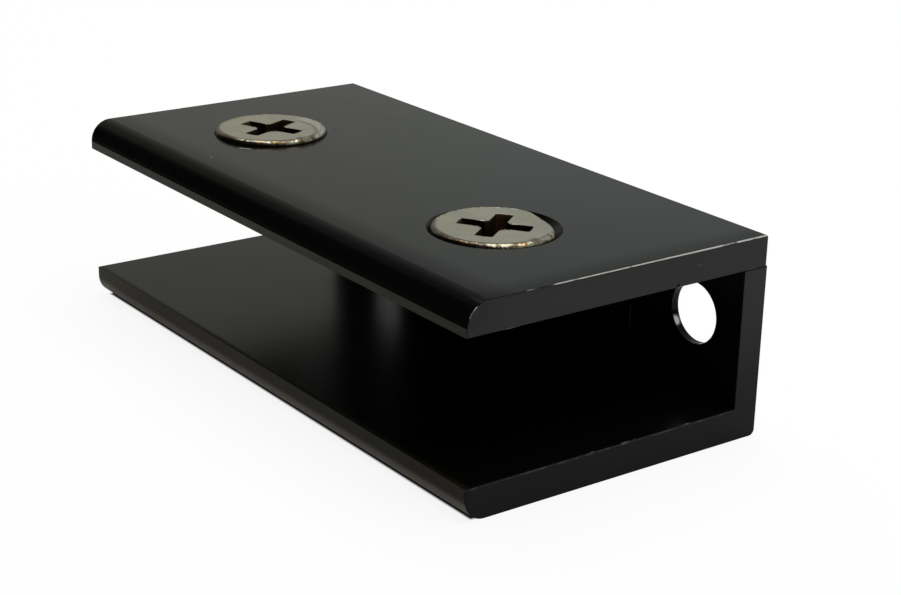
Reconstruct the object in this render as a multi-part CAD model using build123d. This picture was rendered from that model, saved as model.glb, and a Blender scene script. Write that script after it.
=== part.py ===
from build123d import *
import math
import os

# A shelf clip: a short black channel that holds a board's edge in its mouth, and two countersunk
# screws in its upper leg. It stands on its lower leg. X runs along the channel, the mouth faces -Y,
# the fixing face is +Y and Z is up, with the origin under the middle of the block. Millimetres.

# The channel
LENGTH = 50.8
DEPTH = 25.4
HEIGHT = 14.75
UPPER_LEG = 2.25
LOWER_LEG = 2.4
WEB = 2.1
MOUTH_RADIUS = 1.65     # the soft outer edge of each leg, along the mouth
LOWER_SETBACK = 0.12    # the lower leg stops this much short of the upper one at the mouth
HEEL_RADIUS = 0.45      # under the fixing face
SHOULDER_RADIUS = 0.2   # over the fixing face
STEP_BACK = 0.12        # the upper leg stops this much short of the fixing face
END_BREAK = 0.04        # chamfer left by deburring the sawn ends

# The two holes in the web, for fixing screws, widened from behind by a shallow countersink
FIXING_HOLE = 4.5
FIXING_HOLE_SPACING = 38.1
FIXING_HOLE_MARGIN = 4.65   # from the right-hand end to the centre of the nearer hole
FIXING_HOLE_HEIGHT = 8.1
FIXING_LAND = 0.6           # straight wall left at the inner face of the web
FIXING_SINK_ANGLE = 110     # degrees across the countersink

# The two countersunk holes in the upper leg
CLAMP_HOLE = 5.2
PLACE_LEFT = (-14.93, -2.2)     # from the middle of the leg; the pair sits a little to the left
PLACE_RIGHT = (14.25, -2.2)
SINK_LEFT = 8.9     # the left countersink is the shallower one, so its screw stands prouder
SINK_RIGHT = 9.3

# The screws: flat heads with a softened rim, and a cross recess
SCREW_LENGTH = 6.35
SHANK = 4.8
POINT_CHAMFER = 0.6
HEAD = 8.8
HEAD_FLAT = 8.1       # the flat on top, inside the softened rim
HEAD_LAND = 0.1       # the straight edge between the cone and the softened rim
HEAD_CROWN = 0.35     # how far the softened rim rises from the land to the flat

RECESS_SPAN = 5.2        # across the wings, at the top
RECESS_WING = 1.25       # width of a wing at the top
RECESS_WING_FOOT = 0.85  # and at the foot
RECESS_CORE = 2.2        # diameter of the round core between the wings, at the top
RECESS_CORE_FOOT = 1.6
RECESS_DEPTH = 2.3
RECESS_POINT = 0.35      # the cone under the foot of the recess
WING_SLOPE = 26.5        # degrees from upright, on the outer end of each wing
TURN_LEFT = 23.5         # how each cross is turned, in degrees from X
TURN_RIGHT = 36.0

CUT_PAST = 1.0   # how far a cutting tool runs past the face it cuts


def channel_section():
    """The C-shaped cross-section, drawn in the YZ plane with the mouth towards -Y."""
    mouth = -DEPTH / 2
    lower_mouth = mouth + LOWER_SETBACK
    back = DEPTH / 2
    shelf = HEIGHT - UPPER_LEG
    inner_back = back - WEB
    outline = Polyline(
        (lower_mouth, 0),
        (back, 0),
        (back, shelf),
        (back - STEP_BACK, shelf),
        (back - STEP_BACK, HEIGHT),
        (mouth, HEIGHT),
        (mouth, shelf),
        (inner_back, shelf),
        (inner_back, LOWER_LEG),
        (lower_mouth, LOWER_LEG),
        close=True,
    )
    section = Plane.YZ * make_face(outline)
    roundings = (
        (lower_mouth, 0, MOUTH_RADIUS),
        (mouth, HEIGHT, MOUTH_RADIUS),
        (back, 0, HEEL_RADIUS),
        (back - STEP_BACK, HEIGHT, SHOULDER_RADIUS),
    )
    for y, z, radius in roundings:
        corner = section.vertices().sort_by_distance((0, y, z))[0]
        section = fillet(corner, radius)
    return section


def countersink(hole, wall, depth, angle):
    """The tool for a hole through a wall, with a countersink that ends flush at Z = 0.

    The hole runs down through the wall. Above this depth it opens out at this angle across.
    """
    flare = math.tan(math.radians(angle / 2))
    half = Polyline(
        (0, -wall - CUT_PAST),
        (hole / 2, -wall - CUT_PAST),
        (hole / 2, -depth),
        (hole / 2 + (depth + CUT_PAST) * flare, CUT_PAST),
        (0, CUT_PAST),
        close=True,
    )
    return revolve(Plane.XZ * make_face(half), Axis.Z)


def fixing_holes():
    """Two holes through the web, level with each other and countersunk from the fixing face."""
    tool = countersink(FIXING_HOLE, WEB, WEB - FIXING_LAND, FIXING_SINK_ANGLE)
    right = LENGTH / 2 - FIXING_HOLE_MARGIN
    turned = Rot(-90, 0, 0) * tool
    return [
        Pos(x, DEPTH / 2, FIXING_HOLE_HEIGHT) * turned
        for x in (right, right - FIXING_HOLE_SPACING)
    ]


def clamp_hole(place, rim):
    """A hole through the upper leg for a screw, with a countersink whose rim is this wide."""
    x, y = place
    tool = countersink(CLAMP_HOLE, UPPER_LEG, (rim - CLAMP_HOLE) / 2, 90)
    return Pos(x, y, HEIGHT) * tool


def channel():
    """The channel: one extruded length, sawn off, deburred and drilled."""
    body = extrude(channel_section(), LENGTH / 2, both=True)
    ends = body.faces().filter_by(Axis.X)
    body = chamfer(ends.edges(), END_BREAK)
    for hole in fixing_holes():
        body -= hole
    body -= clamp_hole(PLACE_LEFT, SINK_LEFT)
    body -= clamp_hole(PLACE_RIGHT, SINK_RIGHT)
    return body


def cross_recess():
    """The tapered cross that a driver turns, as a solid that hangs down from the head's flat.

    Two crossed wings narrow towards the foot and are trimmed by a cone, so that their outer ends
    lean inwards. A round core and a small cone fill the middle.
    """
    foot_span = RECESS_SPAN - 2 * RECESS_DEPTH * math.tan(math.radians(WING_SLOPE))
    wing = loft([
        Rectangle(RECESS_SPAN, RECESS_WING),
        Pos(0, 0, -RECESS_DEPTH) * Rectangle(RECESS_SPAN, RECESS_WING_FOOT),
    ])
    lid = Pos(0, 0, CUT_PAST / 2) * Box(RECESS_SPAN, RECESS_WING, CUT_PAST)
    wing = wing + lid
    wings = wing + Rot(0, 0, 90) * wing
    under = (Align.CENTER, Align.CENTER, Align.MAX)
    above = (Align.CENTER, Align.CENTER, Align.MIN)
    envelope = Cone(foot_span / 2, RECESS_SPAN / 2, RECESS_DEPTH, align=under)
    envelope += Cylinder(RECESS_SPAN / 2, CUT_PAST, align=above)
    core = Cone(RECESS_CORE_FOOT / 2, RECESS_CORE / 2, RECESS_DEPTH, align=under)
    core += Cylinder(RECESS_CORE / 2, CUT_PAST, align=above)
    core += Pos(0, 0, -RECESS_DEPTH) * Cone(0, RECESS_CORE_FOOT / 2, RECESS_POINT, align=under)
    return (wings & envelope) + core


def screw(turn):
    """A screw standing on its point, with the sharp edge of its head's cone at Z = 0."""
    crown = HEAD_LAND + HEAD_CROWN
    tip = crown - SCREW_LENGTH
    cone_foot = -(HEAD - SHANK) / 2
    side = Polyline(
        (0, crown),
        (0, tip),
        (SHANK / 2 - POINT_CHAMFER, tip),
        (SHANK / 2, tip + POINT_CHAMFER),
        (SHANK / 2, cone_foot),
        (HEAD / 2, 0),
        (HEAD / 2, HEAD_LAND),
    )
    rim = TangentArc((HEAD_FLAT / 2, crown), (HEAD / 2, HEAD_LAND), tangent=(1, 0))
    flat = Line((HEAD_FLAT / 2, crown), (0, crown))
    half = Plane.XZ * make_face([side, rim, flat])
    blank = revolve(half, Axis.Z)
    return blank - Pos(0, 0, crown) * Rot(0, 0, turn) * cross_recess()


def seated_screw(place, rim, turn):
    """A screw lowered until the cone of its head meets the cone of its countersink."""
    x, y = place
    edge_height = HEIGHT - (rim - HEAD) / 2
    return Pos(x, y, edge_height) * screw(turn)


def main():
    pieces = {
        "channel": channel(),
        "screw_left": seated_screw(PLACE_LEFT, SINK_LEFT, TURN_LEFT),
        "screw_right": seated_screw(PLACE_RIGHT, SINK_RIGHT, TURN_RIGHT),
    }
    os.makedirs("parts", exist_ok=True)
    for name, piece in pieces.items():
        export_step(piece, f"parts/{name}.step")
        print(name, "volume", round(piece.volume, 1), "mm3")


main()
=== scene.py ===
# %% [markdown]
# # A shelf clip
# The clip is a short black channel that grips the edge of a board, with two plated screws in its
# upper leg. Its solids come ready made, in metres, so this lesson gives them their finishes, turns
# the screws' plain shanks into threaded ones, and sets up the light and the camera.
# X runs along the channel, its mouth faces -Y, the face that goes on the wall is +Y, and Z is up.

import math

import bpy
import numpy as np
from mathutils import Matrix, Vector


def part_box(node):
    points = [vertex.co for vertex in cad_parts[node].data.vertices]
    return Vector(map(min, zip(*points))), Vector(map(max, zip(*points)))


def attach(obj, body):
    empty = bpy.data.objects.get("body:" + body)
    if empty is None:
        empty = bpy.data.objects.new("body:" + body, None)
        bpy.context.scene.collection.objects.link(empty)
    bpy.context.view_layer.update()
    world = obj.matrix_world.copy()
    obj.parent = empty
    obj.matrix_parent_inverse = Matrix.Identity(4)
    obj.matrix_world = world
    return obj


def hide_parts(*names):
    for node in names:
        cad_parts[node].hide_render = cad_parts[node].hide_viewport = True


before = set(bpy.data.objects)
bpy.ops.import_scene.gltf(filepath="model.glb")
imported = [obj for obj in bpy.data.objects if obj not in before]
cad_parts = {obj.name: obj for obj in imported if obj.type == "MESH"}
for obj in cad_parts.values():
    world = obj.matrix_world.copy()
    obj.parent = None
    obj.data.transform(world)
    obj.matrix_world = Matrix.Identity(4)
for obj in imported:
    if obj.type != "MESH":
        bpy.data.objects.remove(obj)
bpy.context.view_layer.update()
MM = 0.001
print("solids:", sorted(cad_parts))

# %% [markdown]
# ## Shader sums
# A finish is mostly arithmetic on masks, such as "on the end face and near its top edge". Wiring
# that by hand hides the sum, so a small class stands for a node's output and each operator adds
# the Math node that works it out. One method adds every other kind of node.


# %% A node's output, used like a number
class Wire:
    """One output of a node. Adding, subtracting or multiplying it makes the Math node for that."""

    def __init__(self, paint, node, output=0):
        self.paint = paint
        self.node = node
        self.socket = node.outputs[output] if len(node.outputs) else None

    def out(self, output):
        return Wire(self.paint, self.node, output)

    def sum(self, operation, first, second=0.0):
        return self.paint.node(
            "ShaderNodeMath", {"operation": operation}, {0: first, 1: second}
        )

    def __add__(self, other):
        return self.sum("ADD", self, other)

    __radd__ = __add__

    def __sub__(self, other):
        return self.sum("SUBTRACT", self, other)

    def __rsub__(self, other):
        return self.sum("SUBTRACT", other, self)

    def __mul__(self, other):
        return self.sum("MULTIPLY", self, other)

    __rmul__ = __mul__

    def __abs__(self):
        return self.sum("ABSOLUTE", self)

    def at_least(self, other):
        return self.sum("MAXIMUM", self, other)

    def at_most(self, other):
        return self.sum("MINIMUM", self, other)

    def root(self):
        return self.sum("SQRT", self)

    def rise(self, start, end):
        """0 up to start, 1 from end, and a smooth S between them."""
        return self.paint.node(
            "ShaderNodeMapRange",
            {"interpolation_type": "SMOOTHSTEP"},
            {"Value": self, "From Min": start, "From Max": end},
        )

    def near(self, middle, half_width, softness):
        """1 within half_width of middle, falling to 0 over the softness."""
        return 1 - abs(self - middle).rise(half_width, half_width + softness)


def distance(values, middle):
    """How far the point with these two or three values is from the middle."""
    squares = [(value - centre) * (value - centre) for value, centre in zip(values, middle)]
    total = squares[0]
    for square in squares[1:]:
        total = total + square
    return total.root()


# %% A tree of nodes
class Paint:
    """A node tree, with one method that adds a node: its type, its settings, then its sockets."""

    def __init__(self, tree):
        self.tree = tree
        self.tree.nodes.clear()

    def node(self, kind, settings=None, sockets=None, output=0):
        made = self.tree.nodes.new(kind)
        for name, value in (settings or {}).items():
            setattr(made, name, value)
        for key, value in (sockets or {}).items():
            if isinstance(value, Wire):
                self.tree.links.new(value.socket, made.inputs[key])
            else:
                made.inputs[key].default_value = value
        return Wire(self, made, output)

    def place(self):
        """The point being painted, in metres in the clip's own frame."""
        return self.node("ShaderNodeTexCoord", output="Object")

    def millimetres(self):
        """The same point as three numbers in millimetres."""
        parts = self.node("ShaderNodeSeparateXYZ", {}, {"Vector": self.place()})
        return [parts.out(axis) * 1000 for axis in "XYZ"]

    def noise(self, grain, detail=2.0):
        """Smooth random numbers round 0.5. The grain is a blotch's size along X, Y and Z, in mm."""
        scale = [1000 / size for size in grain]
        spread = self.node("ShaderNodeMapping", {}, {"Vector": self.place(), "Scale": scale})
        return self.node(
            "ShaderNodeTexNoise", {}, {"Vector": spread, "Scale": 1.0, "Detail": detail}
        )

    def blend(self, mask, without, with_mask):
        """One colour where the mask is 0, the other where it is 1."""
        return self.node(
            "ShaderNodeMix", {"data_type": "RGBA"}, {0: mask, 6: without, 7: with_mask}, output=2
        )

    def relief(self, height):
        """Normals of a surface that stands this many millimetres above or below the mesh."""
        return self.node("ShaderNodeBump", {}, {"Height": height, "Distance": MM})

    def show(self, shader):
        self.node("ShaderNodeOutputMaterial", {}, {"Surface": shader})


def new_material(name):
    material = bpy.data.materials.new(name)
    material.use_nodes = True
    return material, Paint(material.node_tree)


def rgb(red, green, blue):
    return (red, green, blue, 1.0)


# %% [markdown]
# ## The channel's finish
# The channel is extruded aluminium, sawn to length and anodised black. The dye is almost black and
# even, and what the eye reads as grey is the sheen of a satin skin, so the colour stays dark and
# the roughness carries the look. Extrusion leaves faint lines along the channel, and the sawn ends,
# the underside and the face that goes on the wall are duller. Handling has worn the skin off the
# sharp edges of the ends, down to bare metal, and along the nearer end's top edge that line is also
# a painted highlight. The sawn ends are painted lighter towards the top, as painted light. A pale
# strip round the lower leg's outer edge is a painted reflection of the floor, and the fronts along
# the mouth carry a painted warm reflection.
#
# All of this is painted by place, in millimetres, so that the solid keeps its shape. Each mark is
# a mask, and the skin's colour and roughness are mixed by the masks at the end.

# %% Where things are on the channel, in millimetres
HALF_LENGTH = 25.4
TOP = 14.75
SEAM_HEIGHT = 12.5      # the underside of the upper leg
WEB_FACE = 10.6         # the inner face of the web
END_CHAMFER = 0.04      # the broken edges of the sawn ends
LEFT_SCREW = (-14.93, -2.2)
RIGHT_SCREW = (14.25, -2.2)


def upper_part(z):
    """0 on the lower leg and 1 on the upper one. It changes within the slot's height."""
    return z.rise(5.0, 6.0)


def near_end(x):
    """1 on the sawn end that faces the camera."""
    return x.rise(HALF_LENGTH - 0.1, HALF_LENGTH - 0.05)


print("channel in millimetres:", 2 * HALF_LENGTH, "long,", TOP, "high")


# %% [markdown]
# ### Worn edges and marks
# Sawing leaves a very narrow broken edge, where hands and tools rub the skin through first. The
# bare line could be a strip of mesh of its own, but a mask on the chamfer is simpler and stays
# put. A noise breaks the line up, because wear is never even. Along the nearer end's top edge and
# round its corner over the mouth the line is also a painted highlight, and two more spots of bare
# metal are a painted highlight in a fixing hole and a painted reflection beside the left screw.

# %% Edges and spots of bare metal, with painted highlights and a painted reflection
RIM_REFLECTION_SPOT = (-11.84, -6.37)      # a painted reflection of the left screw's rim highlight, beside that screw
RIM_REFLECTION_RADIUS = 5.19                # of that painted reflection's arc, round the screw's axis
HOLE_GLINT = (19.0, 10.75, 7.0)     # a painted highlight, as a spot of bare metal, in the wall of the nearer fixing hole


def worn_chamfers_and_glints(paint, x, y, z):
    """Where the ends' small chamfers have lost their skin, partly a painted highlight.

    It is worn through where a noise is above a limit, and the limit is low along the top edge, from
    the back corner almost to the mouth, and at the rounded corner over the mouth, where the line is
    a painted highlight as well as wear. Along the top edge the wear reaches past the chamfer, as
    far as the depth behind the end and the depth under the top together stay below a width, which
    widens the painted highlight. The line narrows where the noise is lower, and it is fainter on
    the lower leg.
    """
    depth = HALF_LENGTH - abs(x)
    chance = paint.noise((1.3, 1.3, 1.3), detail=3.0)
    # The top edge and the corner over the mouth are where the line is a painted highlight.
    top = z.rise(14.4, 14.6) * y.rise(-10.5, -4.5)
    corner = z.near(14.1, 0.3, 0.1) * (1 - y.rise(-12.0, -11.8))
    worn_glint_line = (top + 0.8 * corner) * x.rise(0, 1)
    wear = (chance + 0.36 * worn_glint_line).rise(0.62, 0.82)
    on_chamfer = depth.rise(0.001, 0.004) * (END_CHAMFER - depth).rise(-0.002, 0.004)
    from_edge = depth + (TOP - z)
    width = END_CHAMFER * (0.9 + 0.7 * wear + 0.7 * y.rise(-2, 10))
    over_edge = (width - from_edge).rise(0.0, 0.02) * top
    return on_chamfer.at_least(over_edge) * wear * (0.55 + 0.45 * z.rise(3.0, 5.0))


def bare_glint_spots(paint, x, y, z):
    """A painted highlight in the fixing hole, and a painted reflection in an arc round the left
    screw.
    """
    patch = 1 - distance((x, y, z), HOLE_GLINT).rise(0.25, 0.5)
    hole_glint = patch * (y - WEB_FACE).rise(0.03, 0.06)
    out = distance((x, y), LEFT_SCREW)
    beside = 1 - distance((x, y), RIM_REFLECTION_SPOT).rise(0.35, 0.6)
    rim_reflection_arc = out.near(RIM_REFLECTION_RADIUS, 0.04, 0.05) * beside * z.rise(TOP - 0.05, TOP - 0.01)
    return hole_glint.at_least(rim_reflection_arc)


# %% Dust, scuffs and nicks
DUST_SPECK = (-11.1, -9.75, 14.75)
PIT = (-12.86, 2.49, 14.75)         # a pit in the skin of the top
NOTCH = (25.4, 4.48, 12.62)         # a nick in the lower edge of the sawn upper leg
END_SCUFFS = ((6.35, 13.73, 0.5), (11.3, 12.54, 1.0))   # Y, Z and strength, on the nearer end
LIGHT_LINE = 2.3                    # Z of a light line on the nearer end of the lower leg
WALL_STREAK = (14.2, 5.8)          # X and Z of a light upright streak on the inside of the web


def dust_and_scuffs(paint, x, y, z):
    """A speck of dust, as one mask, and the scuffs and a light streak on the web, as another.

    A scuff is a spot of the sawn end that is four times as long as it is high. The edge of the
    lower leg has an uneven light line just under its inner face.
    """
    dust = 1 - distance((x, y, z), DUST_SPECK).rise(0.04, 0.12)
    on_web = y.near(WEB_FACE, 0.01, 0.02) * z.near(WALL_STREAK[1], 0.7, 0.3)
    scuffs = x.near(WALL_STREAK[0], 0.02, 0.06) * on_web * 0.6
    for along, height, strength in END_SCUFFS:
        spot = distance(((y - along) * 0.25, z - height), (0.0, 0.0))
        scuffs = scuffs.at_least((1 - spot.rise(0.03, 0.10)) * strength * near_end(x))
    uneven = paint.noise((0.5, 0.5, 0.5), detail=2.0).rise(0.42, 0.66)
    line = z.near(LIGHT_LINE, 0.03, 0.04) * near_end(x) * (1 - y.rise(10.5, 10.8))
    return dust, scuffs.at_least(line * (0.15 + 0.75 * uneven))


def nicks(x, y, z):
    """A pit in the skin of the top and a nick in the sawn end's edge, painted black as their shade.
    """
    pit = 1 - distance((x, y, z), PIT).rise(0.08, 0.16)
    return pit.at_least(1 - distance((x, y, z), NOTCH).rise(0.12, 0.24))


# %% Painted reflections along the mouth, and grimy countersinks
def mouth_edges(x, y, z):
    """The flat fronts along the mouth, and a painted floor reflection round the lower leg's outer
    edge.

    The fronts get a painted warm reflection, stronger towards the left.
    """
    front = (1 - y.rise(-12.4, -12.0)) * (1 - z.rise(13.0, 13.2))
    # A pale painted reflection of the floor.
    strip = z.near(0.95, 0.15, 0.50) * (1 - y.rise(-11.6, -11.2))
    return front * (0.9 - 0.5 * x.rise(-22, 10)), strip


def countersink_walls(x, y, z):
    """The two countersinks in the upper leg, which hold a dull film of dirt."""
    near_axis = distance((x, y), LEFT_SCREW).at_most(distance((x, y), RIGHT_SCREW))
    below_top = 1 - z.rise(TOP - 0.03, TOP - 0.005)
    return (1 - near_axis.rise(4.75, 4.8)) * z.rise(10.0, 12.0) * below_top


# %% [markdown]
# ### Slight relief
# The top falls away a little beside its edges, by a tenth or two of a millimetre, and leans into
# the rounded edge along the mouth. It shows only in how the skin mirrors the room. A bump from a
# height in millimetres gives that reflection and leaves the solid as it is.

# %% Relief that is too slight for the solid
SOFT_EDGE_START = -8.8
SOFT_EDGE_DROP = 0.031      # millimetres of drop per square millimetre towards the mouth
ROUNDING_START = -11.05     # from here on the edge is round, and the fall stays as steep as it is
SOFT_END_START = 23.3
SOFT_END_DROP = 0.022
ARRIS_START = -12.15        # the lower leg's inner edge is softened from here to its mouth
ARRIS_DROP = 0.35
CREASE_HEIGHT = 13.1        # where the rounded edge ends in a slight crease over the flat front
CREASE_SLOPE = 0.27
CREASE_REACH = 0.9          # over this height the slope fades out


def soft_edges(x, y, z):
    """The top's very slight fall towards the mouth and towards the nearer sawn end.

    The drop in millimetres grows with the square of the distance past its start. From the start
    of the rounded edge on it grows evenly. The lower leg's inner edge is softened the same way.
    """
    past = (SOFT_EDGE_START - y).at_least(0.0)
    square_part = past.at_most(SOFT_EDGE_START - ROUNDING_START)
    steepest = 2 * (SOFT_EDGE_START - ROUNDING_START)
    fall = SOFT_EDGE_DROP * (square_part * square_part + steepest * (past - square_part))
    past_end = (x - SOFT_END_START).at_least(0.0)
    end_fall = SOFT_END_DROP * past_end * past_end * z.rise(14.6, 14.7)
    past_arris = (ARRIS_START - y).at_least(0.0)
    arris_fall = ARRIS_DROP * past_arris * past_arris * (1 - upper_part(z))
    return (fall * upper_part(z) + end_fall + arris_fall) * -1


def crease(y, z):
    """The rounded edge's lowest part stands out a little, and ends in a crease.

    Its height falls with the height over the crease, evenly at first and then less and less.
    """
    over = (z - CREASE_HEIGHT).at_least(0.0).at_most(CREASE_REACH)
    remaining = 1 - over * (0.5 / CREASE_REACH)
    return over * remaining * -CREASE_SLOPE * (1 - y.rise(-12.0, -11.0))


def seam(x, y, z):
    """A hairline on the sawn end of the web, level with the underside of the upper leg."""
    line = z.near(SEAM_HEIGHT, 0.03, 0.05)
    on_end = x.rise(HALF_LENGTH - 0.1, HALF_LENGTH)
    return line * y.rise(WEB_FACE - 0.05, WEB_FACE + 0.05) * on_end


# %% The black skin
BLACK = rgb(0.0022, 0.0022, 0.0021)
# The sawn ends' colours low down and high up, a painted shade and a painted light.
SAWN_SHADED = rgb(0.008, 0.008, 0.008)
SAWN_LIT = rgb(0.027, 0.027, 0.027)
# Bare metal, also used for painted highlights and a painted reflection.
BARE_METAL_AND_GLINT = rgb(0.52, 0.51, 0.48)
DUST = rgb(0.16, 0.155, 0.14)
SCUFF = rgb(0.075, 0.073, 0.070)
# A painted warm reflection on the fronts along the mouth.
WARM_REFLECTION_TINT = rgb(0.022, 0.016, 0.002)
# A pale painted reflection of the floor, round the lower leg's outer edge.
PALE_FLOOR_REFLECTION = rgb(0.110, 0.090, 0.070)


def black_anodising():
    material, paint = new_material("black_anodising")
    x, y, z = paint.millimetres()
    sawn = abs(x).rise(HALF_LENGTH - 0.006, HALF_LENGTH - 0.001)
    # Bare metal where the skin is worn, and painted highlights and a painted reflection in bare
    # metal.
    bare_and_glints = worn_chamfers_and_glints(paint, x, y, z).at_least(bare_glint_spots(paint, x, y, z))
    dust, scuffs = dust_and_scuffs(paint, x, y, z)
    nick = nicks(x, y, z)
    line = seam(x, y, z)
    drawn = paint.noise((60.0, 0.35, 0.35), detail=3.0)
    mottle = paint.noise((5.0, 5.0, 5.0), detail=3.0)
    grain = paint.noise((0.12, 0.12, 0.12), detail=2.0)
    saw_marks = paint.noise((1.0, 9.0, 0.12), detail=2.0)
    warm_front_reflection, strip = mouth_edges(x, y, z)
    # The fronts' tint and the lower leg's pale strip are painted reflections.
    skin = paint.blend(strip, paint.blend(warm_front_reflection, BLACK, WARM_REFLECTION_TINT), PALE_FLOOR_REFLECTION)
    # The sawn ends are painted lighter towards the top and darker towards the bottom, as painted
    # light from above.
    skin = paint.blend(sawn, skin, paint.blend(z.rise(2.0, 12.0), SAWN_SHADED, SAWN_LIT))
    skin = paint.blend(scuffs, paint.blend(dust, skin, DUST), SCUFF)
    # The pit and the nick are painted black as the shade inside them, and the seam is a dark
    # hairline.
    skin = paint.blend(nick.at_least(line), skin, rgb(0, 0, 0))
    underside = 1 - z.rise(0.0, 0.7)
    inner_end = HALF_LENGTH - END_CHAMFER
    broken_edge = abs(x).rise(inner_end - 0.015, inner_end) * (1 - sawn)
    wall_side = y.rise(12.3, 12.5)
    lower_part = 1 - upper_part(z)
    roughness = 0.17 + 0.06 * (mottle - 0.5) + 0.05 * (drawn - 0.5) + 0.20 * sawn
    roughness = roughness + 0.05 * lower_part + 0.10 * countersink_walls(x, y, z) + 0.25 * warm_front_reflection
    roughness = roughness + 0.5 * underside.at_least(broken_edge).at_least(wall_side) * (1 - sawn)
    relief = 0.001 * grain + 0.001 * drawn * (1 - sawn) + 0.003 * saw_marks * sawn
    relief = relief + soft_edges(x, y, z) + crease(y, z) - 0.012 * line - 0.03 * nick
    paint.show(
        paint.node(
            "ShaderNodeBsdfPrincipled",
            {},
            {
                "Base Color": paint.blend(bare_and_glints, skin, BARE_METAL_AND_GLINT),
                "Roughness": roughness + bare_and_glints * 0.15,
                "Metallic": bare_and_glints,
                "Specular IOR Level": 0.07,
                "Normal": paint.relief(relief),
            },
        )
    )
    return material


# %% Dress the channel
def dress(node, material):
    """Give a carried-over solid a better material in each of its slots."""
    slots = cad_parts[node].material_slots
    for index in range(len(slots)):
        slots[index].material = material


dress("channel", black_anodising())
print("channel dressed")

# %% [markdown]
# ## The screws
# Each is a number 10 machine screw: a flat countersunk head with a softened rim, a cross recess
# that a punch has pressed in, and a rolled thread. The thread and the recess could be cut with
# Booleans, but one skin is cleaner: rings that start at the point, climb the thread, go out over
# the head, in to the edge of the cross and down its walls to the bottom. Every ring has the same
# number of points, and each point's bearing is that of a point on the cross's outline, so the
# walls of the recess are straight and its corners stay crisp. The right screw's rim has been
# struck on the side towards the web, which flattens it and opens a dark gap beside it.

# %% The screw's sizes, in millimetres
SHANK_RADIUS = 2.4
HEAD_RADIUS = 4.4
FLAT_RADIUS = 4.05
LAND = 0.1              # straight edge between the cone and the rounded rim
CROWN = 0.45            # from the cone's sharp edge up to the flat
SCREW_LENGTH = 6.35
POINT_CHAMFER = 0.6
PITCH = 0.794           # 32 threads to the inch
THREAD_DEPTH = 0.45
THREAD_RINGS = 104
GROOVE_FLAT = 0.2       # share of the wave that is cut flat at the bottom of the groove
FLANK = 0.62            # share of the wave that is the groove's sloping side
THREAD_FADE = 0.7       # the thread runs out over this length below the cone
RECESS_SPAN = 5.2
RECESS_WING = (1.25, 0.85)      # width of a wing at the top and at the foot
RECESS_CORE = (1.1, 0.8)        # radius of the round core at the top and at the foot
RECESS_DEPTH = 2.3
RECESS_POINT = 0.35
WING_SLOPE = math.radians(26.5)
SEATING = 0.01          # the head's cone is this much slimmer than its countersink
LOWER_CONE = 3.6        # up to this radius a blow on the rim leaves the cone as it is

# %% The outline of the cross
END_STEPS = np.linspace(0, 1, 5)[:-1]
SIDE_STEPS = np.linspace(0, 1, 11)[:-1]
CORE_STEPS = np.linspace(0, 1, 5)[:-1]


def cross_outline(depth, turn):
    """The recess's outline at this depth, as an array of points (x, y).

    The wings' width, the core's radius and the radius that trims the wings all shrink in a
    straight line with depth. An eighth of the outline is an arc round the wing's end, a straight
    side and an arc of the core. It is mirrored in the diagonal and turned four times.
    """
    down = depth / RECESS_DEPTH
    half_wing = np.interp(down, (0, 1), RECESS_WING) / 2
    core = np.interp(down, (0, 1), RECESS_CORE)
    reach = RECESS_SPAN / 2 - depth * math.tan(WING_SLOPE)
    end_angle = math.asin(half_wing / reach)
    core_angle = math.asin(half_wing / core)
    end = reach * np.exp(1j * end_angle * END_STEPS)
    corner, root = reach * np.exp(1j * end_angle), core * np.exp(1j * core_angle)
    side = corner + (root - corner) * SIDE_STEPS
    inner = core * np.exp(1j * (core_angle + (math.pi / 4 - core_angle) * CORE_STEPS))
    eighth = np.concatenate([end, side, inner])
    middle = core * np.exp(1j * math.pi / 4)
    mirrored = (1j * np.conj(eighth))[::-1]
    quarter = np.concatenate([eighth, [middle], mirrored[:-1]])
    whole = np.concatenate([quarter * 1j**k for k in range(4)])
    whole = whole * np.exp(1j * turn)
    return np.stack([whole.real, whole.imag], axis=1)


print("points round the cross:", len(cross_outline(0.0, 0.0)))


# %% Rings of the shank, the head and the recess
def level_ring(points, height):
    return np.column_stack([points, np.full(len(points), height)])


def thread_rings(bearings, tip, top):
    """Rings from the point up to the head's cone.

    The radius is the shank's, less the thread's depth in the grooves. The groove's profile is a
    triangle wave with its top and bottom cut flat, and its phase is the height over the pitch less
    the bearing over a whole turn, which makes a right-hand thread. It fades out below the cone,
    and a chamfer at the point limits the radius.
    """
    heights = np.linspace(tip, top, THREAD_RINGS)[:, None]
    phase = heights / PITCH - bearings[None, :] / (2 * np.pi)
    wave = 1 - 2 * np.abs(phase % 1 - 0.5)
    crest = np.clip((wave - GROOVE_FLAT) / FLANK, 0, 1)
    fade = np.clip((top - heights) / THREAD_FADE, 0, 1)
    radius = SHANK_RADIUS - THREAD_DEPTH * (1 - crest) * fade
    radius = np.minimum(radius, SHANK_RADIUS - POINT_CHAMFER + (heights - tip))
    x, y = radius * np.cos(bearings), radius * np.sin(bearings)
    return np.stack([x, y, np.broadcast_to(heights, x.shape)], axis=2)


def struck_side(bearings, depths):
    """How far the rim has been pushed in at each bearing, in millimetres.

    The depths are given at bearings in degrees and joined by straight lines.
    """
    degrees = np.degrees(bearings) % 360
    return np.interp(degrees, list(depths), list(depths.values())) if depths else 0 * degrees


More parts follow.
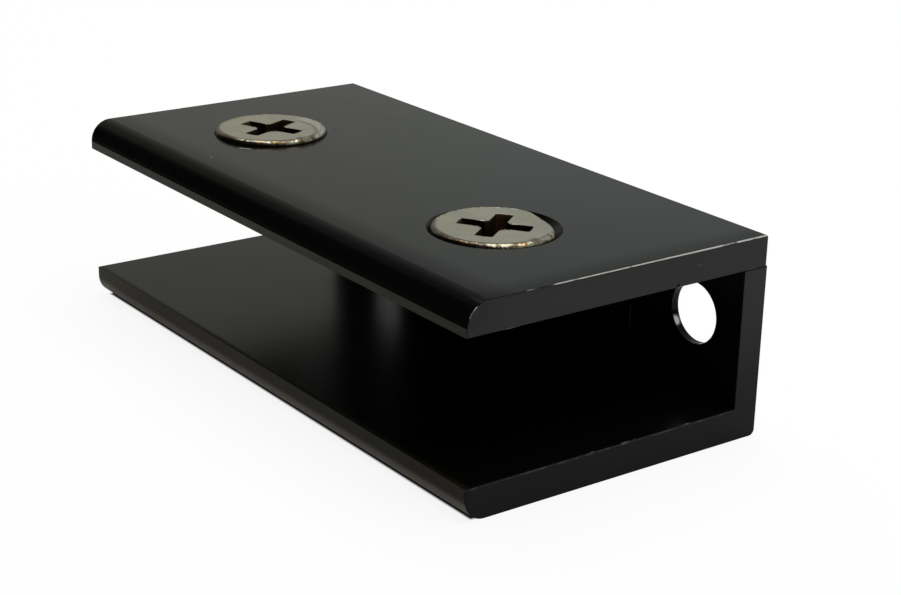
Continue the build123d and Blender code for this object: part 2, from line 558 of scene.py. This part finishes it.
def head_rings(bearings, struck):
    """The cone, the land and the rim, which is a quarter circle from the land up to the flat.

    All but the lower part of the cone is pushed in where the rim has been struck.
    """
    rim = HEAD_RADIUS - FLAT_RADIUS
    swing = np.linspace(0, math.pi / 2, 9)
    cone = [SHANK_RADIUS + 0.5, LOWER_CONE]
    radii = cone + [HEAD_RADIUS - SEATING, HEAD_RADIUS]
    heights = [radius - HEAD_RADIUS - SEATING for radius in cone] + [-SEATING, 0.02]
    radii += list(FLAT_RADIUS + rim * np.cos(swing))
    heights += list(LAND + rim * np.sin(swing))
    circle = np.stack([np.cos(bearings), np.sin(bearings)], axis=1)
    rings = []
    for radius, height in zip(radii, heights):
        pushed = struck if radius > LOWER_CONE else 0 * struck
        rings.append(level_ring(circle * (radius - pushed)[:, None], height))
    return np.array(rings)


def recess_rings(turn, struck, edge_break=0.05):
    """The flat's inner part and the recess, from the flat's edge to the bottom of the cross.

    The punch draws the metal in, so the cross's edge dips by edge_break over about its own width.
    """
    mouth = cross_outline(0.0, turn)
    lengths = np.linalg.norm(mouth, axis=1, keepdims=True)
    bearing = mouth / lengths
    edge = FLAT_RADIUS - struck[:, None]
    flat = [
        level_ring(lengths * bearing * (1 - t) + edge * bearing * t, CROWN)
        for t in (0.75, 0.4, 0.15)
    ]
    lip = [
        level_ring(mouth + bearing * edge_break * 1.4, CROWN),
        level_ring(mouth + bearing * edge_break * 0.5, CROWN - edge_break * 0.3),
        level_ring(mouth, CROWN - edge_break),
    ]
    depths = np.linspace(edge_break * 2, RECESS_DEPTH, 9)
    walls = [level_ring(cross_outline(d, turn), CROWN - d) for d in depths]
    foot = cross_outline(RECESS_DEPTH, turn)
    reach = np.linalg.norm(foot, axis=1, keepdims=True)
    core = foot * np.minimum(1, RECESS_CORE[1] / reach) * 0.98
    return np.array(flat + lip + walls + [level_ring(core, CROWN - RECESS_DEPTH)])


# %% From rings to a closed skin
def closed_skin(name, rings, first_pole, last_pole):
    """A mesh whose faces join each ring to the next, with a fan of triangles at either end.

    Face (i, j) has the corners (i, j), (i, j + 1), (i + 1, j + 1) and (i + 1, j), counted round
    from the outside, so that it faces outwards.
    """
    count, around = rings.shape[:2]
    points = np.concatenate([rings.reshape(-1, 3), [first_pole, last_pole]]) * MM
    index = np.arange(count * around).reshape(count, around)
    beside = np.roll(index, -1, axis=1)
    quads = np.stack([index[:-1], beside[:-1], beside[1:], index[1:]], axis=2).reshape(-1, 4)
    start, end = count * around, count * around + 1
    floor = np.stack([np.full(around, start), beside[0], index[0]], axis=1)
    lid = np.stack([np.full(around, end), index[-1], beside[-1]], axis=1)
    mesh = bpy.data.meshes.new(name)
    mesh.from_pydata(points.tolist(), [], quads.tolist() + floor.tolist() + lid.tolist())
    mesh.polygons.foreach_set("use_smooth", np.ones(len(mesh.polygons), bool))
    mesh.set_sharp_from_angle(angle=math.radians(32))
    piece = bpy.data.objects.new(name, mesh)
    bpy.context.scene.collection.objects.link(piece)
    return piece


def threaded_screw(name, node, turn_degrees, depths=None):
    """The screw that stands for this solid, on the solid's axis and with its top."""
    low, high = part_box(node)
    axis = np.array([(low.x + high.x) / 2, (low.y + high.y) / 2]) / MM
    edge = high.z / MM - CROWN
    turn = math.radians(turn_degrees)
    mouth = cross_outline(0.0, turn)
    bearings = np.unwrap(np.arctan2(mouth[:, 1], mouth[:, 0]))
    tip = CROWN - SCREW_LENGTH
    shank = thread_rings(bearings, tip, SHANK_RADIUS - HEAD_RADIUS - SEATING)
    struck = struck_side(bearings, depths)
    rings = np.concatenate([shank, head_rings(bearings, struck), recess_rings(turn, struck)])
    place = np.array([axis[0], axis[1], edge])
    bottom = [0, 0, CROWN - RECESS_DEPTH - RECESS_POINT]
    piece = closed_skin(name, rings + place, np.array([0, 0, tip]) + place, bottom + place)
    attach(piece, "root")
    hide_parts(node)
    print(name, "faces:", len(piece.data.polygons))
    return piece, axis, high.z / MM


# %% Both screws
LEFT_TURN = 23.5        # degrees from the X axis to a wing of the cross
RIGHT_TURN = 36.0
# how deep the right rim is struck, in millimetres, by the bearing in degrees
STRUCK_RIM = {28: 0.0, 40: 0.20, 54: 0.37, 66: 0.52, 79: 0.62, 92: 0.48, 104: 0.20, 114: 0.0}
left, left_axis, left_top = threaded_screw("threaded_screw_left", "screw_left", LEFT_TURN)
right, right_axis, right_top = threaded_screw(
    "threaded_screw_right", "screw_right", RIGHT_TURN, STRUCK_RIM
)

# %% [markdown]
# ## The plating
# The screws are nickel plated, with the faintly warm grey of nickel and a soft shine. Barrel
# plating leaves small dents on the rim, and old oil has darkened the inside of the cross to brown.
# Grime has settled in patches on the rim. The rim's foot, a spot on one side of the rim and its
# side towards the front are painted dark as a painted dark reflection, and one head has a darker
# arc painted across one side of its flat, with a lighter crescent outside it. The recess could be
# left to the light, but even at its top edge the real one is dark, so a stain is mixed in by depth.

# %% The plating's colours and marks
NICKEL = rgb(0.258, 0.246, 0.180)
WORN_NICKEL = rgb(0.315, 0.286, 0.218)
BRIGHT_NICKEL = rgb(0.37, 0.355, 0.305)
TARNISH = rgb(0.36, 0.24, 0.10)
# Dark brown for grime, also used for painted dark reflections on the rim.
GRIME_AND_DARK_REFLECTION = rgb(0.050, 0.030, 0.016)
OIL_STAIN = rgb(0.034, 0.018, 0.008)
RIM_DARK_REFLECTION = (4.05, 0.35)        # from the screw's axis, a painted dark reflection on the rim
DARK_REFLECTING_SIDE = (-0.259, -0.966)   # the bearing at which the rim's painted dark reflection is strongest
ARC_MIDDLE = (0.58, -0.84)       # from the axis, the middle of a darker arc painted on one head
ARC_RADIUS = 3.97


# %% A darker arc and a lighter crescent on one head
def dark_arc_and_light_crescent(x, y, axis):
    """A darker arc painted across one side of the flat, and a lighter crescent painted outside it.
    """
    from_axis = (x - axis[0], y - axis[1])
    reach = distance(from_axis, ARC_MIDDLE)
    side = (from_axis[0] + from_axis[1]).rise(1.5, 3.0) * from_axis[1].rise(-1.2, -0.2)
    return reach.near(ARC_RADIUS, 0.05, 0.22) * side, reach.rise(4.0, 4.2) * side


# %% The plating itself
def nickel_plating(name, axis, top, with_arc=False):
    material, paint = new_material(name)
    x, y, z = paint.millimetres()
    out = distance((x, y), axis)
    drop = top - z
    wing_end = RECESS_SPAN / 2
    sunk = drop.rise(0.01, 0.06) * (1 - out.rise(wing_end + 0.02, wing_end + 0.15))
    rim = out.rise(FLAT_RADIUS - 0.15, FLAT_RADIUS + 0.05)
    blotch = paint.noise((1.8, 1.8, 1.8), detail=3.0)
    stain = paint.noise((1.1, 1.1, 1.1), detail=2.0)
    dents = paint.noise((0.5, 0.5, 0.5), detail=2.0)
    patches = paint.noise((0.55, 0.55, 0.55), detail=3.0)
    grain = paint.noise((0.12, 0.12, 0.12), detail=2.0)
    clean = paint.blend(blotch.rise(0.35, 0.65), NICKEL, WORN_NICKEL)
    clean = paint.blend(stain.rise(0.50, 0.62) * (0.12 + 0.7 * rim), clean, TARNISH)
    # Painted dark reflections: the rim's foot, a spot on one side and the side towards the front.
    foot = drop.rise(0.16, 0.36) * out.rise(2.9, 3.0)
    from_axis = (x - axis[0], y - axis[1])
    dark_rim_reflection = (1 - distance(from_axis, RIM_DARK_REFLECTION).rise(0.1, 0.65)) * (patches + 0.3).at_most(1.0)
    facing = from_axis[0] * DARK_REFLECTING_SIDE[0] + from_axis[1] * DARK_REFLECTING_SIDE[1]
    side = facing.rise(3.1, 3.7) * (0.7 + 0.4 * patches).at_most(1.0)
    grime_and_dark_reflection = (patches.rise(0.47, 0.57) * rim * 0.85).at_least(foot)
    grime_and_dark_reflection = grime_and_dark_reflection.at_least(dark_rim_reflection * 0.9).at_least(side * rim)
    if with_arc:
        dark_arc, crescent = dark_arc_and_light_crescent(x, y, axis)
        clean = paint.blend(crescent, clean, BRIGHT_NICKEL)
        grime_and_dark_reflection = grime_and_dark_reflection.at_least(dark_arc * 0.5)
    clean = paint.blend(grime_and_dark_reflection, clean, GRIME_AND_DARK_REFLECTION)
    relief = 0.002 * grain + 0.03 * blotch + 0.08 * dents * rim
    paint.show(
        paint.node(
            "ShaderNodeBsdfPrincipled",
            {},
            {
                "Base Color": paint.blend(sunk, clean, OIL_STAIN),
                "Roughness": 0.26 + 0.12 * (blotch - 0.5) + 0.25 * sunk,
                "Metallic": 1.0,
                "Normal": paint.relief(relief),
            },
        )
    )
    return material


# %% Plate both screws
left.data.materials.append(nickel_plating("nickel_left", left_axis, left_top, with_arc=True))
right.data.materials.append(nickel_plating("nickel_right", right_axis, right_top))
print("screws plated")

# %% [markdown]
# ## Floor and light
# The clip stands on a white sheet. The floor is a plain diffuse white that takes the shadow. Seen
# by the camera, most of it is a flat white, so that the sheet looks as white as a cut-out picture
# while a faint shadow stays. In a reflection a quarter of it is, so that the clip's lower edges
# mirror the shadow close to it as well. Under the clip nothing is flat white, which keeps the
# dark crevice below its rounded edge.
#
# A soft lamp overhead gives the level at which colours look as they are written. The room is light
# behind the clip and dark in front, which gives the top its even grey sheen and leaves the rounded
# edge along the mouth dark.

# %% The white sheet
FLOOR_HALF = 4.0
FLAT_WHITE_SHARE = 0.90
FLAT_WHITE_IN_GLOSS = 0.25
SHADE_BESIDE = (24.9, 25.2)     # the flat white fades in between these, along X, in millimetres
SHADE_BEFORE = (11.65, 11.95)   # and along Y


def white_sheet():
    corners = [(-1, -1), (1, -1), (1, 1), (-1, 1)]
    mesh = bpy.data.meshes.new("floor")
    mesh.from_pydata([(x * FLOOR_HALF, y * FLOOR_HALF, 0) for x, y in corners], [], [(0, 1, 2, 3)])
    floor = bpy.data.objects.new("floor", mesh)
    bpy.context.scene.collection.objects.link(floor)
    material, paint = new_material("white_sheet")
    ray = paint.node("ShaderNodeLightPath")
    seen = ray.out("Is Camera Ray").at_least(ray.out("Is Transmission Ray"))
    share = FLAT_WHITE_SHARE * seen + FLAT_WHITE_IN_GLOSS * ray.out("Is Glossy Ray")
    x, y = paint.millimetres()[:2]
    under = (1 - abs(x).rise(*SHADE_BESIDE)) * (1 - abs(y).rise(*SHADE_BEFORE))
    share = share * (1 - under)
    paper = paint.node("ShaderNodeBsdfDiffuse", {}, {"Color": rgb(0.9, 0.9, 0.9)})
    flat = paint.node("ShaderNodeEmission", {}, {"Color": rgb(1, 1, 1), "Strength": 1.0})
    paint.show(paint.node("ShaderNodeMixShader", {}, {0: share, 1: paper, 2: flat}))
    mesh.materials.append(material)


white_sheet()
print("floor in metres:", 2 * FLOOR_HALF)


# %% The room
def room_light():
    """The world's light by direction: dark towards -Y and at the horizon, and pale elsewhere.

    It is a little warmer towards -X.
    """
    world = bpy.data.worlds.new("room")
    bpy.context.scene.world = world
    world.use_nodes = True
    paint = Paint(world.node_tree)
    direction = paint.node("ShaderNodeTexCoord", output="Generated")
    behind = paint.node("ShaderNodeSeparateXYZ", {}, {"Vector": direction}, output="Y")
    pale = behind.rise(-0.40, 0.0) * behind.out("Z").rise(0.0, 0.25)
    warm = 1 - behind.out("X").rise(-0.88, -0.74)
    lit = paint.blend(warm, rgb(0.64, 0.68, 0.65), rgb(0.60, 0.60, 0.53))
    colour = paint.blend(pale, rgb(0.012, 0.012, 0.012), lit)
    light = paint.node("ShaderNodeBackground", {}, {"Color": colour, "Strength": 1.0})
    paint.node("ShaderNodeOutputWorld", {}, {"Surface": light})


room_light()


# %% The lamp overhead
def overhead_lamp(place, size, watts):
    """A rectangular soft lamp, this wide along X and Y in metres, that faces the clip."""
    lamp = bpy.data.lights.new("overhead", "AREA")
    lamp.shape = "RECTANGLE"
    lamp.size, lamp.size_y = size
    lamp.energy = watts
    holder = bpy.data.objects.new("overhead", lamp)
    holder.location = place
    bpy.context.scene.collection.objects.link(holder)
    print("lamp over the clip, watts:", watts)


overhead_lamp((-0.02, 0.10, 0.50), (0.64, 0.36), 2.4)

# %% [markdown]
# ## The camera
# The camera stands in front of the clip's right-hand end and looks down on it by about 20 degrees.
# Its place, turn and lens were fitted to the straight edges in the photograph.

# %% The camera's place, turn and lens
CAMERA_PLACE = (0.111338, -0.077638, 0.054060)
CAMERA_RIGHT = Vector((0.58867, 0.80809, 0.02129))
CAMERA_UP = Vector((-0.28642, 0.18388, 0.94029))
LENS = 76.286


def photo_camera():
    camera = bpy.data.cameras.new("camera")
    camera.lens = LENS
    camera.sensor_width = 36.0
    camera.clip_start = 0.01
    holder = bpy.data.objects.new("camera", camera)
    right = CAMERA_RIGHT.normalized()
    back = right.cross(CAMERA_UP).normalized()
    up = back.cross(right)
    turn = Matrix((right, up, back)).transposed().to_4x4()
    holder.matrix_world = Matrix.Translation(CAMERA_PLACE) @ turn
    bpy.context.scene.collection.objects.link(holder)
    bpy.context.scene.camera = holder


photo_camera()
print("lens in millimetres:", LENS)
bpy.context.scene.view_settings.view_transform = "Standard"
